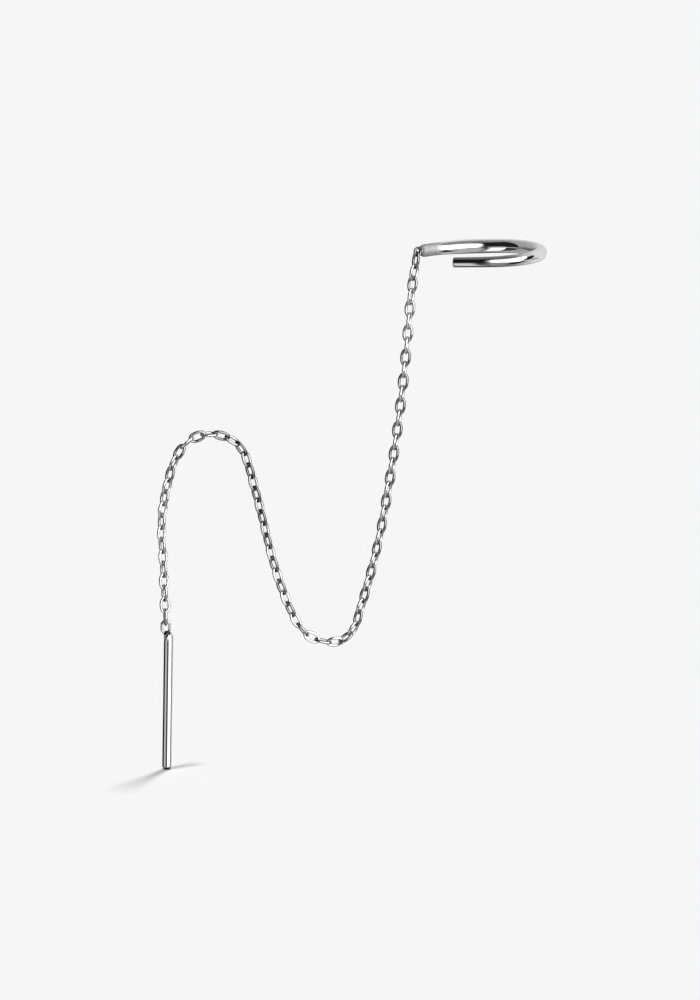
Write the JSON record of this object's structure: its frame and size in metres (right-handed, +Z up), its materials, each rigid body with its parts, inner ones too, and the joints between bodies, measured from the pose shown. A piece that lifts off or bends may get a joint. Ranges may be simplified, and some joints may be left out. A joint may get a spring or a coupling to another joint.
{
  "type": "threader ear cuff earring",
  "caption": "Open wire cuff for the rim of the ear, with a fine cable chain that ends in a straight bar threaded through the lobe.",
  "frame": {"origin": "middle of the cuff's round bend, where the rim of the ear lies in the cuff", "axes": "+Z up as worn, the cuff's ring lies flat in X and Y, the chain and the bar hang toward -X and -Z in a plane of constant Y, and the viewer of the picture looks along +Y"},
  "size_m": [0.0373, 0.0104, 0.0521],
  "materials": {
    "cuff_silver": "silver with a bright mirror polish",
    "chain_silver": "bright silver wire, tumbled",
    "bar_silver": "silver with a bright polish, drawn rod"
  },
  "bodies": {
    "cuff_and_chain": {"ear_cuff": "cuff_silver", "chain": "chain_silver"},
    "hanging_bar": {"bar": "bar_silver"}
  },
  "joints": [
    {"name": "bar_swing", "type": "hinge", "parent": "cuff_and_chain", "child": "hanging_bar", "pos_m": [-0.03146, 0.00268, -0.03685], "axis": [0, 1, 0], "range_deg": [-75, 75]}
  ]
}
